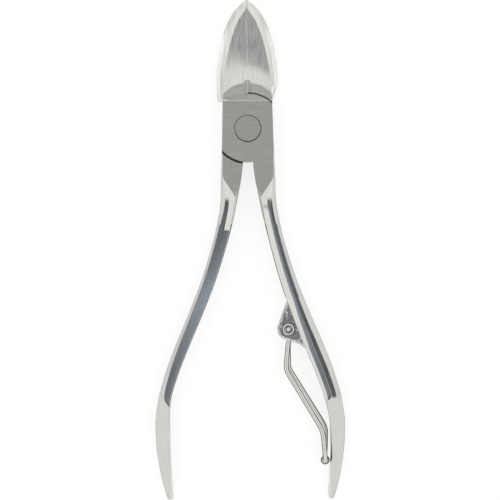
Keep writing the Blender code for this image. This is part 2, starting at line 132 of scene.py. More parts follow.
JAW_HALF_WIDTH = [
    (7.2, 8.0), (14, 8.0), (18, 7.6), (22, 6.85), (26, 5.7), (30, 3.75), (32, 2.0), (33.5, 0.4),
]
GROUND_HALF_WIDTH = [(7.2, 6.4), (13.6, 6.0), (19, 5.1), (24, 3.85), (28, 2.3), (31.8, 0.15), (33.5, 0.1)]
JAW_BACK_Z = [(7.2, 0.0), (12, 0.0), (16, 0.3), (20, 0.8), (24, 1.5), (28, 2.4), (31, 3.2), (33.5, 4.0)]

# ---------------------------------------------------------------- handles, as rows of (y, value)
HANDLE_TOP_Y = -4.0
HANDLE_END_Y = cad_low.y / MM
HANDLE_CENTRE = [
    (-4, 3.8), (-12, 4.35), (-20, 5.25), (-26, 6.5), (-32, 8.15), (-40, 10.75), (-48, 13.9), (-56, 17.3),
    (-64, 20.4), (-71, 22.35), (-76, 22.85), (-82, 22.75), (-88, 22.25), (-96.7, 20.95),
]
HANDLE_WIDTH = [
    (-4, 5.9), (-12, 5.4), (-20, 4.25), (-32, 3.85), (-56, 3.75), (-71, 3.35), (-78, 3.8), (-88, 3.1),
    (-95, 2.0), (-96.7, 1.4),
]
RIDGE_Z = [                 # the front's height along the ridge between its two facets
    (-4, 7.6), (-12, 7.45), (-16, 7.0), (-18.9, 6.64), (-22, 6.54), (-27, 6.45), (-46, 6.6), (-62, 6.9),
    (-74, 6.9), (-86, 5.8), (-96.7, 4.4),
]
HANDLE_BACK_Z = [
    (-4, -0.6), (-13, -0.45), (-18, 0.05), (-22, 0.35), (-27, 0.4), (-46, 0.2), (-60, 0), (-74, 0),
    (-86, 0.8), (-96.7, 1.9),
]
# How far the front stands above its ridge at the inner and at the outer edge of each handle.
LEFT_INNER_RISE = [
    (-4, 0), (-12, 0), (-16, 0.2), (-18, 0.28), (-25.8, 0.26), (-26.5, 0.06), (-36, 0.035), (-44, 0),
    (-52, 0.012), (-62, 0.03), (-68, 0.02), (-71, 0.005), (-96.7, 0),
]
LEFT_OUTER_RISE = [
    (-4, -0.45), (-12, -0.42), (-16, -0.3), (-18.9, -0.07), (-27, -0.06), (-36, -0.035), (-44, 0),
    (-52, -0.012), (-62, -0.03), (-68, -0.02), (-71, -0.005), (-96.7, 0),
]
RIGHT_INNER_RISE = [
    (-4, 0), (-12, 0), (-16, 0.2), (-18, 0.28), (-20.5, 0), (-23, -0.3), (-48, -0.3), (-58, -0.2),
    (-70, -0.18), (-74, 0), (-96.7, 0),
]
RIGHT_OUTER_RISE = [
    (-4, -0.45), (-12, -0.42), (-16, -0.3), (-18.9, -0.07), (-30, -0.053), (-46, -0.06),
    (-52, -0.085), (-58, -0.105), (-64, -0.11), (-70, -0.1), (-73, -0.02), (-96.7, 0),
]
# Where the ridge lies between the inner edge and the rim, as a share.
LEFT_RIDGE = [(-4, 0.5), (-96.7, 0.5)]
RIGHT_RIDGE = [(-4, 0.5), (-42, 0.5), (-52, 0.33), (-58, 0.23), (-70, 0.2), (-74, 0.5), (-96.7, 0.5)]
# Breaks across the front's outer facet, as (share across it, bulge there per millimetre of its width).
# Only the right handle's facet bulges. The left one's is flat.
FACET_BREAKS = [(0.42, 0.0077), (0.5, 0.0044)]
# Width of the ground rim along the outer edge, which widens into the ground tip.
LEFT_RIM = [
    (-4, 0.3), (-12, 0.5), (-19, 1.1), (-26, 0.8), (-45, 0.95), (-62, 1.2), (-68, 1.4), (-70.3, 1.7),
    (-73.2, 3.6), (-78, 3.6), (-88, 2.8), (-96.7, 0.7),
]
RIGHT_RIM = [
    (-4, 0.3), (-12, 0.5), (-19, 1.0), (-26, 0.95), (-45, 1.3), (-52, 1.5), (-58, 1.5), (-63, 1.35),
    (-69.8, 1.2), (-71.8, 4.0), (-78, 3.8), (-88, 2.8), (-96.7, 0.7),
]
# How far the rim falls from the front to the outer edge.
RIM_FALL = [(-4, 0.2), (-12, 0.3), (-26, 0.5), (-67, 0.65), (-73.4, 0.8), (-78, 0.9), (-96.7, 0.5)]
INNER_EDGE = [              # width of the bevel along the inner edge
    (-4, 0.12), (-13, 0.12), (-17.5, 0.7), (-26, 0.3), (-30, 0.2), (-76, 0.2), (-81, 0.45), (-92, 0.5),
    (-96.7, 0.3),
]
INNER_EDGE_SHARE = 0.25     # and at most this share of the bar's width
LEAST_FACETS = 0.06         # the rim leaves at least this much width to the front's facets
BACK_RIM = 0.8              # width of the bevel on the outer edge at the back
BACK_RIM_SHARE = 0.4        # and at most this share of the bar's width
BACK_RIM_RISE = 0.5         # and its height
PALM_RISE = 0.35            # how far the palm side's flanks lie inside the quarter points
OUTER_BULGE = 0.15          # how far the palm side stands out between its bevels
FLANK_BULGE = 0.2 * OUTER_BULGE   # and how far it stands out past its flanks
HANDLE_STATIONS = 190       # sections along a handle
END_ROUND = 0.6             # length of the rounding at the handle's end
END_FLAT = 0.5              # share of the handle's end that is flat
END_STEPS = (0.3, 0.55, 0.75, 0.9, 0.98, 1.0)   # sections along that rounding, as shares of it
# How much further inwards the handle reaches at the lug's root.
LUG_ROOT = [(-4, 0), (-24, 0), (-44, 0.9), (-60, 1.5), (-70, 1.2), (-78, 0.1), (-82, 0), (-96.7, 0)]

# ---------------------------------------------------------------- spring lug and pin
PIN_X, PIN_Y, _ = joint_place("spring_swing")
PIN_R = 0.68
PIN_HALF_LENGTH = 2.45
PIN_DOME = 0.3
PIN_EASE = 0.01             # added to the radius of each ring of the pin's domes
LUG_R = 2.9
LUG_HALF_DEPTH = 2.65
LUG_STEPS = [(0.5, 0), (0.36, 0.12), (0.34, 0.26), (0, 0.6)]   # the bevel round it, as (down, in) rows
LUG_FOOT_CENTRE = (10.4, -61.1)   # centre of the hollow curve between the lug and the handle
LUG_FOOT_R = 5.5
SLOT_HALF_DEPTH = 1.6
SLOT_R = 2.65
COLLAR_R = 1.62
COLLAR_CLEARANCE = 0.17     # its hole in the lug is this much larger in radius
COLLAR_BORE_R = 0.8
COLLAR_RECESS_R = 1.07
COLLAR_RECESS_DEPTH = 0.7
COLLAR_PROUD = 0.15
COLLAR_SLOPE = 0.32         # its face slopes down this much to its outer edge
COLLAR_ROUND = 0.1
RECESS_CORNERS = (3, 4)     # corners of the collar's section where its recess's wall and ledge begin, which take painted shade

# ---------------------------------------------------------------- wire spring and roller
WIRE_R = 0.62
WIRE_SIDES = 24
WIRE_CREST = 0.72           # the flanks are painted with dark reflection; the crests stay bright down to this share of its radius
EYE_R = 1.48                # radius of the eye's centreline round the pin
EYE_START = -125            # degrees, where the hook of the eye begins
EYE_END = -350              # and where it runs into the strand
EYE_HALF_SPACING = 0.78     # the two eyes sit this far either side of the mid-plane
END_HALF_SPACING = 1.95     # and the strands end this far either side of it, past the roller's ends
END_BEND_R = 0.85
FRONT_BENDS = [(10.0, -56.2), (9.4, -62.9), (18.9, -79.0)]
REAR_BENDS = [(10.1, -56.2), (10.15, -62.5), (19.8, -78.3)]
BEND_REACH = [1.0, 1.2, 1.8]      # how far each bend is rounded off
ROLLER_X, ROLLER_Y, _ = joint_place("roller_spin")
ROLLER_R = 1.2
ROLLER_BORE_R = 0.75
ROLLER_HALF_LENGTH = 0.95
ROLLER_CROWN = 0.25         # the barrel is this much thinner at its ends
ROLLER_DARK_ROWS = 2        # rows of faces at each end of the barrel that are painted with dark reflection

EDGE_ROUND = 0.09           # how far the corners of sections are rounded off
CORNER_POINTS = 3           # by this many points
REACH_LIMIT = 0.22          # share of a side that the rounding of either end may take up
RIM_CORNER = 4              # a handle's rim follows this corner of its section
EDGE_CORNER = 13            # and its inner edge follows this one
DARK_EDGE_START = -25.0     # the edges of the handles' fronts are painted with dark reflection from here
LEFT_DARK_EDGE_END = -72.0  # to here
RIGHT_DARK_EDGE_END = -44.0
SHARP_ANGLE = math.radians(24)          # edges sharper than this stay crisp
TURNED_SHARP_ANGLE = math.radians(40)   # on the pin and the roller
ROUND_SHARP_ANGLE = math.radians(50)    # on the wire and the collars
FLOOR_GAP = 0.05            # the floor lies this far below the nipper's back, so that they don't coincide
BELOW = -1                  # cutters that go right through start here
ABOVE = DEPTH + 1           # and end here


# ================================================================ curves and outlines
def along(table, y):
    """The value at y of a table of (y, value) rows, on a smooth curve that does not overshoot them."""
    rows = sorted(table)
    slopes = [(b[1] - a[1]) / (b[0] - a[0]) for a, b in zip(rows, rows[1:])]
    tangents = [slopes[0]]
    for before, after in zip(slopes, slopes[1:]):
        same_way = before * after > 0
        tangents.append(2 * before * after / (before + after) if same_way else 0.0)
    tangents.append(slopes[-1])
    y = min(max(y, rows[0][0]), rows[-1][0])
    i = max(k for k in range(len(slopes)) if rows[k][0] <= y)
    width = rows[i + 1][0] - rows[i][0]
    t = (y - rows[i][0]) / width
    start = (1 + 2 * t) * (1 - t) ** 2 * rows[i][1] + t * (1 - t) ** 2 * width * tangents[i]
    end = t * t * (3 - 2 * t) * rows[i + 1][1] + t * t * (t - 1) * width * tangents[i + 1]
    return start + end


def spaced(first, last, count):
    """Evenly spaced values from first to last, both included."""
    return [first + (last - first) * k / (count - 1) for k in range(count)]


def arc(x, y, radius, start, end, count):
    """Points on a circle from one angle to another, in degrees."""
    angles = [math.radians(a) for a in spaced(start, end, count)]
    return [(x + radius * math.cos(a), y + radius * math.sin(a)) for a in angles]


def circle(x, y, radius, count):
    """Evenly spaced points on a whole circle."""
    return arc(x, y, radius, 0, 360 * (count - 1) / count, count)


def toward(start, end, distance):
    """The point that lies this far from start on the way to end."""
    share = distance / math.dist(start, end)
    return tuple(a + (b - a) * share for a, b in zip(start, end))


def bend(start, corner, end, count):
    """Points on a curve from start to end that rounds off the corner."""
    points = []
    for t in spaced(0, 1, count):
        weights = ((1 - t) ** 2, 2 * t * (1 - t), t * t)
        coordinates = zip(start, corner, end)
        points.append(tuple(sum(w * value for w, value in zip(weights, values)) for values in coordinates))
    return points


def eased(profile, reach=EDGE_ROUND):
    """A closed profile with each corner rounded off."""
    points = []
    for k, corner in enumerate(profile):
        before = profile[k - 1]
        after = profile[(k + 1) % len(profile)]
        start = toward(corner, before, min(reach, REACH_LIMIT * math.dist(corner, before)))
        end = toward(corner, after, min(reach, REACH_LIMIT * math.dist(corner, after)))
        points += bend(start, corner, end, CORNER_POINTS)
    return points


def inset(outline, distance):
    """A closed counter-clockwise outline moved inwards."""
    points = []
    for k, (x, y) in enumerate(outline):
        before = outline[k - 1]
        after = outline[(k + 1) % len(outline)]
        along_x, along_y = after[0] - before[0], after[1] - before[1]
        length = math.hypot(along_x, along_y)
        points.append((x - distance * along_y / length, y + distance * along_x / length))
    return points


# ================================================================ solids
def solid(name, shape, material, origin=(0, 0, 0)):
    """An object from a bmesh in millimetres, which is used up."""
    bmesh.ops.recalc_face_normals(shape, faces=shape.faces)
    mesh = bpy.data.meshes.new(name)
    shape.to_mesh(mesh)
    shape.free()
    mesh.transform(Matrix.Scale(MM, 4) @ Matrix.Translation(origin))
    mesh.materials.append(material)
    thing = bpy.data.objects.new(name, mesh)
    bpy.context.scene.collection.objects.link(thing)
    return thing


def skin(name, rings, material, origin=(0, 0, 0)):
    """A closed solid through rings of points, each with the same number of points, with flat ends."""
    shape = bmesh.new()
    loops = [[shape.verts.new(point) for point in ring] for ring in rings]
    for ring, following in zip(loops, loops[1:]):
        for k in range(len(ring)):
            after = (k + 1) % len(ring)
            shape.faces.new((ring[k], ring[after], following[after], following[k]))
    shape.faces.new(loops[0])
    shape.faces.new(reversed(loops[-1]))
    return solid(name, shape, material, origin)


def prism(name, outline, low, high, material, steps=((0, 0),)):
    """An outline in the XY plane, extruded from low to high; steps bevel both ends, as (down, in) rows."""
    levels = [(low + down, by) for down, by in reversed(steps)]
    levels += [(high - down, by) for down, by in steps]
    rings = [[(x, y, z) for x, y in (inset(outline, by) if by else outline)] for z, by in levels]
    return skin(name, rings, material)


def turned(name, profile, count, material, origin=(0, 0, 0)):
    """A ring turned about Z from a closed profile of (radius, z) points."""
    shape = bmesh.new()
    loops = []
    for k in range(count):
        angle = 2 * math.pi * k / count
        loops.append([shape.verts.new((r * math.cos(angle), r * math.sin(angle), z)) for r, z in profile])
    for k, ring in enumerate(loops):
        following = loops[(k + 1) % count]
        for j in range(len(profile)):
            after = (j + 1) % len(profile)
            shape.faces.new((ring[j], ring[after], following[after], following[j]))
    return solid(name, shape, material, origin)


def combine(target, operation, tool):
    """Joins, keeps or cuts the target with a tool, whose own faces bring their material."""
    modifier = target.modifiers.new(tool.name, "BOOLEAN")
    modifier.operation = operation
    modifier.solver = "EXACT"
    modifier.material_mode = "TRANSFER"
    modifier.object = tool


def settle(thing):
    """Applies a thing's booleans and gives back their tools."""
    tools = {m.object for m in thing.modifiers if m.type == "BOOLEAN"}
    result = bpy.data.meshes.new_from_object(thing.evaluated_get(bpy.context.evaluated_depsgraph_get()))
    thing.modifiers.clear()
    thing.data = result
    return tools


def crisp(thing, angle=SHARP_ANGLE):
    """Smooth shading that breaks at corners and where one finish meets another."""
    shape = bmesh.new()
    shape.from_mesh(thing.data)
    bmesh.ops.remove_doubles(shape, verts=shape.verts, dist=0.002 * MM)
    for face in shape.faces:
        face.smooth = True
    for edge in shape.edges:
        faces = edge.link_faces
        same = len(faces) == 2 and faces[0].material_index == faces[1].material_index
        edge.smooth = same and edge.calc_face_angle(0) < angle
    shape.to_mesh(thing.data)
    shape.free()
    weighted = thing.modifiers.new("even_shading", "WEIGHTED_NORMAL")
    weighted.keep_sharp = True
    return thing


def add_finish(thing, material):
    """Adds a material for some of a thing's faces, and gives its slot number."""
    thing.data.materials.append(material)
    return len(thing.data.materials) - 1


# ================================================================ materials
def steel(name, colour, roughness):
    """A metal shader with its node tree, for the finishes below to add their grain to."""
    material = bpy.data.materials.new(name)
    material.use_nodes = True
    shader = material.node_tree.nodes["Principled BSDF"]
    shader.inputs["Base Color"].default_value = (*colour, 1)
    shader.inputs["Metallic"].default_value = 1.0
    shader.inputs["Roughness"].default_value = roughness
    shader.inputs["Specular Tint"].default_value = (0.55, 0.55, 0.55, 1)
    return material


def grain(material, size, detail=3.0):
    """A noise output whose features are about size = (x, y, z) millimetres."""
    nodes, links = material.node_tree.nodes, material.node_tree.links
    place = nodes.new("ShaderNodeTexCoord")
    stretch = nodes.new("ShaderNodeMapping")
    stretch.inputs["Scale"].default_value = [1 / (s * MM) for s in size]
    noise = nodes.new("ShaderNodeTexNoise")
    noise.inputs["Scale"].default_value = 1.0
    noise.inputs["Detail"].default_value = detail
    links.new(place.outputs["Object"], stretch.inputs["Vector"])
    links.new(stretch.outputs["Vector"], noise.inputs["Vector"])
    return noise.outputs["Fac"]


def spread(material, source, low, high, start=0.3, end=0.7):
    """Maps a noise output from start..end to low..high."""
    node = material.node_tree.nodes.new("ShaderNodeMapRange")
    node.inputs["From Min"].default_value = start
    node.inputs["From Max"].default_value = end
    node.inputs["To Min"].default_value = low
    node.inputs["To Max"].default_value = high
    material.node_tree.links.new(source, node.inputs["Value"])
    return node.outputs["Result"]


def shade_between(material, source, dark, light, start=0.3, end=0.7):
    """Lets the noise choose the base colour between two steels."""
    nodes, links = material.node_tree.nodes, material.node_tree.links
    ramp = nodes.new("ShaderNodeValToRGB")
    ramp.color_ramp.elements[0].position = start
    ramp.color_ramp.elements[0].color = (*dark, 1)
    ramp.color_ramp.elements[1].position = end
    ramp.color_ramp.elements[1].color = (*light, 1)
    links.new(source, ramp.inputs["Fac"])
    links.new(ramp.outputs["Color"], nodes["Principled BSDF"].inputs["Base Color"])


def relief(material, source, depth, strength=1.0, soften=0.08):
    """Bump of the given depth in millimetres, over edges that are softened by the given radius."""
    nodes, links = material.node_tree.nodes, material.node_tree.links
    bump = nodes.new("ShaderNodeBump")
    bump.inputs["Strength"].default_value = strength
    bump.inputs["Distance"].default_value = depth * MM
    edge = nodes.new("ShaderNodeBevel")
    edge.samples = 6
    edge.inputs["Radius"].default_value = soften * MM
    links.new(edge.outputs["Normal"], bump.inputs["Normal"])
    links.new(source, bump.inputs["Height"])
    links.new(bump.outputs["Normal"], nodes["Principled BSDF"].inputs["Normal"])


def roughen(material, source, low, high):
    """Lets the noise vary the roughness from low to high."""
    shader = material.node_tree.nodes["Principled BSDF"]
    material.node_tree.links.new(spread(material, source, low, high), shader.inputs["Roughness"])


def polished_steel():
    """Mirror polish with a slightly uneven buffing along the handles."""
    material = steel("polished_steel", (0.9, 0.9, 0.89), 0.08)
    buffing = grain(material, (0.5, 6, 4))
    shade_between(material, buffing, (0.79, 0.79, 0.78), (0.87, 0.87, 0.86))
    roughen(material, grain(material, (1.5, 8, 4)), 0.03, 0.09)
    relief(material, grain(material, (0.25, 3, 4)), 0.0004)
    return material


def satin_steel():
    """The joint's face, ground across with a fine belt."""
    material = steel("satin_steel", (0.55, 0.56, 0.54), 0.38)
    belt = grain(material, (4, 0.12, 4), 5)
    shade_between(material, belt, (0.475, 0.48, 0.46), (0.525, 0.53, 0.51))
    roughen(material, grain(material, (3, 0.3, 3)), 0.33, 0.43)
    relief(material, belt, 0.006, soften=0.03)
    return material


def shoulder_steel():
    """The grind between the joint's face and the jaws' hollow, a little brighter than the joint."""
    material = steel("shoulder_steel", (0.62, 0.62, 0.6), 0.34)
    belt = grain(material, (3, 0.2, 4), 4)
    shade_between(material, belt, (0.56, 0.56, 0.54), (0.68, 0.68, 0.66))
    roughen(material, grain(material, (2, 0.6, 4)), 0.3, 0.4)
    relief(material, belt, 0.002, soften=0.03)
    return material


def brushed_jaw_steel():
    """The jaws' ground face, with lines that run towards the tips."""
    material = steel("brushed_jaw_steel", (0.8, 0.8, 0.79), 0.25)
    lines = grain(material, (0.28, 5, 6), 3)
    shade_between(material, lines, (0.70, 0.695, 0.675), (0.89, 0.89, 0.88))
    roughen(material, grain(material, (0.3, 4, 6)), 0.2, 0.3)
    relief(material, lines, 0.004, soften=0.02)
    return material


def jaw_rim_steel():
    """The polished rims, with soft streaks from the buffing wheel."""
    material = steel("jaw_rim_steel", (0.9, 0.9, 0.89), 0.25)
    streaks = grain(material, (0.5, 9, 5), 4)
    shade_between(material, streaks, (0.76, 0.755, 0.735), (0.94, 0.94, 0.93))
    roughen(material, grain(material, (0.4, 5, 5)), 0.2, 0.3)
    relief(material, streaks, 0.006)
    return material


def back_painted_shade_steel():
    """The palm sides and the backs, polished less finely than the front, with painted shade darkening their
    colour.
    """
    material = steel("back_painted_shade_steel", (0.66, 0.66, 0.65), 0.2)
    buffing = grain(material, (1, 7, 1), 4)
    shade_between(material, buffing, (0.56, 0.56, 0.55), (0.72, 0.72, 0.71))
    roughen(material, grain(material, (0.8, 5, 0.8)), 0.14, 0.26)
    relief(material, buffing, 0.004)
    return material


def fine_ground_steel():
    """The handles' rims and tips, ground finer than the joint."""
    material = steel("fine_ground_steel", (0.76, 0.76, 0.75), 0.25)
    lines = grain(material, (0.2, 2.5, 4), 4)
    shade_between(material, lines, (0.73, 0.73, 0.715), (0.80, 0.80, 0.79))
    roughen(material, grain(material, (0.5, 3, 4)), 0.22, 0.3)
    relief(material, lines, 0.001)
    return material


def machined_painted_shade_steel():
    """Recesses, bores and slots, rough from the cutter, with painted shade darkening their colour."""
    material = steel("machined_painted_shade_steel", (0.25, 0.25, 0.245), 0.5)
    marks = grain(material, (0.3, 0.3, 1.5), 3)
    shade_between(material, marks, (0.17, 0.17, 0.165), (0.30, 0.30, 0.29))
    roughen(material, marks, 0.42, 0.55)
    relief(material, marks, 0.003)
    return material


def forged_steel():
    """The lug, polished over the ripples that forging left."""
    material = steel("forged_steel", (0.88, 0.88, 0.87), 0.1)
    ripples = grain(material, (1.3, 1.3, 1.3), 1)
    shade_between(material, ripples, (0.68, 0.68, 0.67), (0.80, 0.80, 0.79))
    roughen(material, grain(material, (0.6, 0.6, 0.6)), 0.07, 0.16)
    relief(material, ripples, 0.16)
    return material


def painted_dark_reflection_steel():
    """Painted dark reflection along narrow edges of the handles, the flanks of the wire and the ends of the
    roller.
    """
    material = steel("painted_dark_reflection_steel", (0.14, 0.14, 0.135), 0.35)
    marks = grain(material, (0.3, 2, 3), 3)
    shade_between(material, marks, (0.06, 0.06, 0.058), (0.2, 0.195, 0.185))
    roughen(material, marks, 0.3, 0.45)
    relief(material, marks, 0.003)
    return material


def rivet_steel():
    """The rivet, ground flush with the joint."""
    material = steel("rivet_steel", (0.54, 0.545, 0.53), 0.38)
    belt = grain(material, (4, 0.12, 4), 5)
    shade_between(material, belt, (0.455, 0.46, 0.44), (0.505, 0.51, 0.49))
    roughen(material, grain(material, (3, 0.3, 3)), 0.33, 0.43)
    relief(material, belt, 0.006, soften=0.03)
    return material


def turned_steel(name, dark, light, roughness):
    """Small turned parts: fine rings from the tool."""
    material = steel(name, light, roughness)
    rings = grain(material, (0.6, 0.6, 0.08), 3)
    shade_between(material, rings, dark, light)
    roughen(material, rings, roughness * 0.8, roughness * 1.3)
    relief(material, rings, 0.0015, soften=0.05)
    return material


def drawn_wire_steel():
    """Bright drawn wire with faint die lines along it."""
    material = steel("drawn_wire_steel", (0.86, 0.86, 0.84), 0.12)
    lines = grain(material, (0.1, 2, 0.1), 3)
    shade_between(material, lines, (0.78, 0.77, 0.745), (0.92, 0.92, 0.905))
    roughen(material, lines, 0.09, 0.17)
    relief(material, lines, 0.001, soften=0.05)
    return material


POLISHED = polished_steel()
SATIN = satin_steel()
SHOULDER = shoulder_steel()
BRUSHED = brushed_jaw_steel()
RIM = jaw_rim_steel()
FINE_GROUND = fine_ground_steel()
MACHINED_PAINTED_SHADE = machined_painted_shade_steel()
FORGED = forged_steel()
BACK_PAINTED_SHADE = back_painted_shade_steel()
PAINTED_DARK_REFLECTION = painted_dark_reflection_steel()


# ================================================================ levers
def hollow_z(x, y):
    """Height of the second grind: flat towards the tips, and climbing to an arch at the shoulder."""
    climb = max(0, HOLLOW_START - math.hypot(x, y - ARCH_Y)) / (HOLLOW_START - ARCH_R)
    power = max(HOLLOW_LEAST_POWER, HOLLOW_POWER + HOLLOW_LEAN * x)
    return HOLLOW_Z + (SHOULDER_Z - HOLLOW_Z) * climb ** power


def ground_z(x, y):
    """Height of the jaws' front face."""
    return min(SHOULDER_Z, hollow_z(x, y))


def handle_section(y, side, lugged):
    """A bar with two front facets, a rim and a rounded palm side; side is +1 for the right handle."""
    half_width = along(HANDLE_WIDTH, y) / 2
    inner = along(HANDLE_CENTRE, y) - half_width - (along(LUG_ROOT, y) if lugged else 0)
    outer = along(HANDLE_CENTRE, y) + half_width
    width = outer - inner
    edge = min(along(INNER_EDGE, y), INNER_EDGE_SHARE * width)
    rim = min(along(RIGHT_RIM if lugged else LEFT_RIM, y), width - edge - LEAST_FACETS)
    rim_fall = along(RIM_FALL, y)
    ridge = inner + edge + along(RIGHT_RIDGE if lugged else LEFT_RIDGE, y) * (width - rim - edge)
    facet = outer - rim - ridge
    front = along(RIDGE_Z, y)
    front_in = front + along(RIGHT_INNER_RISE if lugged else LEFT_INNER_RISE, y)
    outer_rise = along(RIGHT_OUTER_RISE if lugged else LEFT_OUTER_RISE, y)
    front_out = front + outer_rise
    breaks = [(share, bulge if lugged else 0) for share, bulge in FACET_BREAKS]
    back = along(HANDLE_BACK_Z, y)
    quarter = (front - back) / 4
    profile = [
        (inner + edge, front_in),
        (ridge, front),
        *((ridge + share * facet, front + share * outer_rise + bulge * facet) for share, bulge in breaks),
        (outer - rim, front_out),
        (outer - OUTER_BULGE, front_out - rim_fall),
        (outer - FLANK_BULGE, front - quarter - PALM_RISE),
        (outer, (front + back) / 2),
        (outer - FLANK_BULGE, back + quarter + PALM_RISE),
        (outer - OUTER_BULGE, back + BACK_RIM_RISE),
        (outer - min(BACK_RIM, BACK_RIM_SHARE * width), back),
        (inner + edge, back),
        (inner, back + edge),
        (inner, front_in - edge),
    ]
    return [(side * x, y, z) for x, z in eased(profile)]


def closing(section, share):
    """A ring drawn in towards its middle, for rounded ends."""
    middle = [sum(point[k] for point in section) / len(section) for k in range(3)]
    return [tuple(m + (p - m) * share for p, m in zip(point, middle)) for point in section]


def handle(name, side, lugged):
    """A long bar whose free end is blunt, with rounded edges."""
    stations = spaced(HANDLE_TOP_Y, HANDLE_END_Y + END_ROUND, HANDLE_STATIONS)
    rings = [handle_section(y, side, lugged) for y in stations]
    for t in END_STEPS:
        ring = handle_section(HANDLE_END_Y + END_ROUND * (1 - t), side, lugged)
        rings.append(closing(ring, END_FLAT + (1 - END_FLAT) * math.sqrt(1 - t * t)))
    bar = skin(name, rings, POLISHED)
    ground = add_finish(bar, FINE_GROUND)
    dark = add_finish(bar, PAINTED_DARK_REFLECTION)
    # the palm sides take the painted shade of the back steel
    palm = add_finish(bar, BACK_PAINTED_SHADE)
    points = len(rings[0])
    dark_end = RIGHT_DARK_EDGE_END if lugged else LEFT_DARK_EDGE_END
    # edges within that span are painted with dark reflection
    for k, face in enumerate(bar.data.polygons[:points * (len(rings) - 1)]):
        corner, part = divmod(k % points, CORNER_POINTS)
        in_painted_dark_span = dark_end < face.center.y / MM < DARK_EDGE_START
        rounding = part < CORNER_POINTS - 1
        if in_painted_dark_span and (corner == EDGE_CORNER or corner == RIM_CORNER and rounding):
            face.material_index = dark
        elif corner == RIM_CORNER:
            face.material_index = ground
        elif RIM_CORNER < corner < EDGE_CORNER:
            face.material_index = palm
    return bar


def jaw_half_width(y, tapered_root):
    """Half width of the jaws at y. One jaw steps in squarely at its root, the other tapers to the joint."""
    half_width = along(JAW_HALF_WIDTH, y)
    if tapered_root:
        return min(half_width, JOINT_TOP_X + TAPER_ROOT + max(0, y - TAPER_START_Y) * TAPER_RATE)
    rise = min(1, max(0, (y - JOINT_TOP_Y) / ROOT_CORNER_R))
    return half_width - ROOT_CORNER_R * (1 - math.sqrt(1 - (1 - rise) ** 2))


def jaw_section(y, side, tapered_root):
    """Half of the closed bud: cutting edge, rim facets, rounded back and the bevel behind the edge."""
    half_width = jaw_half_width(y, tapered_root)
    ground = min(along(GROUND_HALF_WIDTH, y), half_width - LEAST_RIM)
    back = along(JAW_BACK_Z, y)
    front = ground_z(side * ground, y)
    thickness = front - back
    drop = min(RIM_DROP, thickness / 2)
    crease = ((ground + half_width) / 2, front - CREASE_DROP * drop)
    rise_rate = (crease[0] - ground) / (front - crease[1])
    top_z = min(JAW_TOP, front + (ground - PARTING - TOP_MARGIN) / rise_rate)
    top = (ground - rise_rate * (top_z - front), top_z)
    widest = (half_width, front - drop)
    edge_back = ground_z(0, y) - min(LAND, LAND_SHARE * thickness)
    bevel = PARTING + min(along(EDGE_BEVEL, y) * (edge_back - back), BEVEL_SHARE * half_width)
    back_width = half_width - bevel
    belly = widest[1] - back
    points = [(PARTING, top_z), top]
    points += bend(toward(crease, top, CREASE_ROUND), crease, toward(crease, widest, CREASE_ROUND), 4)
    points.append(widest)
    for degrees in range(10, 90, 10):
        turn = math.radians(degrees)
        x = bevel + back_width * math.cos(turn) ** BELLY_WIDTH_POWER
        points.append((x, back + belly * (1 - math.sin(turn)) ** BELLY_DEPTH_POWER))
    points += [(bevel + BACK_FLAT * back_width, back), (bevel, back), (PARTING, edge_back)]
    return [(side * x, y, z) for x, z in points]


def jaw(name, side, tapered_root):
    """Half of the closed bud, from the joint to the tip, before its front is ground."""
    root = JOINT_TOP_Y + 0.05
    stations = spaced(root, root + 0.7, 6) + spaced(root + 1, 32, 56) + [32.4, 32.8, 33.1, 33.35, TIP_Y]
    rings = [jaw_section(y, side, tapered_root) for y in stations]
    bud = skin(name, rings, RIM)
    # the jaw's back takes the painted shade of the back steel
    back = add_finish(bud, BACK_PAINTED_SHADE)
    points = len(rings[0])
    for k, face in enumerate(bud.data.polygons[:points * (len(rings) - 1)]):
        if k % points >= WIDEST_POINT:
            face.material_index = back
    return bud


def half_lap(name, side):
    """The joint's plan: round where it is free to turn in the other lever, square where it joins its own."""
    top_angle = math.degrees(math.acos((JOINT_TOP_X - CORNER_CUT) / PLATE_TOP_R))
    corner_y = PLATE_TOP_R * math.sin(math.radians(top_angle)) - CORNER_RUN
    low_angle = math.degrees(math.acos(JOINT_LOW_X / PLATE_LOW_R))
    into_handle = (JOINT_LOW_X - 1, JOINT_LOW_Y - 2)
    into_jaw = [(-JOINT_TOP_X, JOINT_TOP_Y + 0.5), (-JOINT_TOP_X + 1, JOINT_TOP_Y + 1)]
    outline = arc(0, 0, PLATE_TOP_R, 90, top_angle, 24)
    outline += [(JOINT_TOP_X, corner_y), (JOINT_LOW_X, JOINT_LOW_Y), into_handle]
    outline += arc(0, 0, PLATE_LOW_R, -80, low_angle - 180, 30) + into_jaw
    # the plate's outline sides take the painted shade of the back steel
    return prism(name, [(side * x, y) for x, y in outline], -0.5, DEPTH + 0.5, BACK_PAINTED_SHADE)


def hollow_block(name):
    """Everything in front of the hollow-ground surface."""
    half_width = 9
    top = JAW_TOP + 4
    xs = spaced(-half_width, half_width, 37)
    ys = spaced(JOINT_TOP_Y, TIP_Y + 1.5, 57)
    shape = bmesh.new()
    low = [[shape.verts.new((x, y, hollow_z(x, y))) for x in xs] for y in ys]
    high = [[shape.verts.new((x, y, top)) for x in xs] for y in ys]
    for j in range(len(ys) - 1):
        for k in range(len(xs) - 1):
            shape.faces.new((low[j][k], low[j][k + 1], low[j + 1][k + 1], low[j + 1][k]))
            shape.faces.new((high[j][k], high[j + 1][k], high[j + 1][k + 1], high[j][k + 1]))
    for j in range(len(ys) - 1):
        for k in (0, -1):
            shape.faces.new((low[j][k], low[j + 1][k], high[j + 1][k], high[j][k]))
    for k in range(len(xs) - 1):
        for j in (0, -1):
            shape.faces.new((low[j][k], low[j][k + 1], high[j][k + 1], high[j][k]))
    return solid(name, shape, BRUSHED)


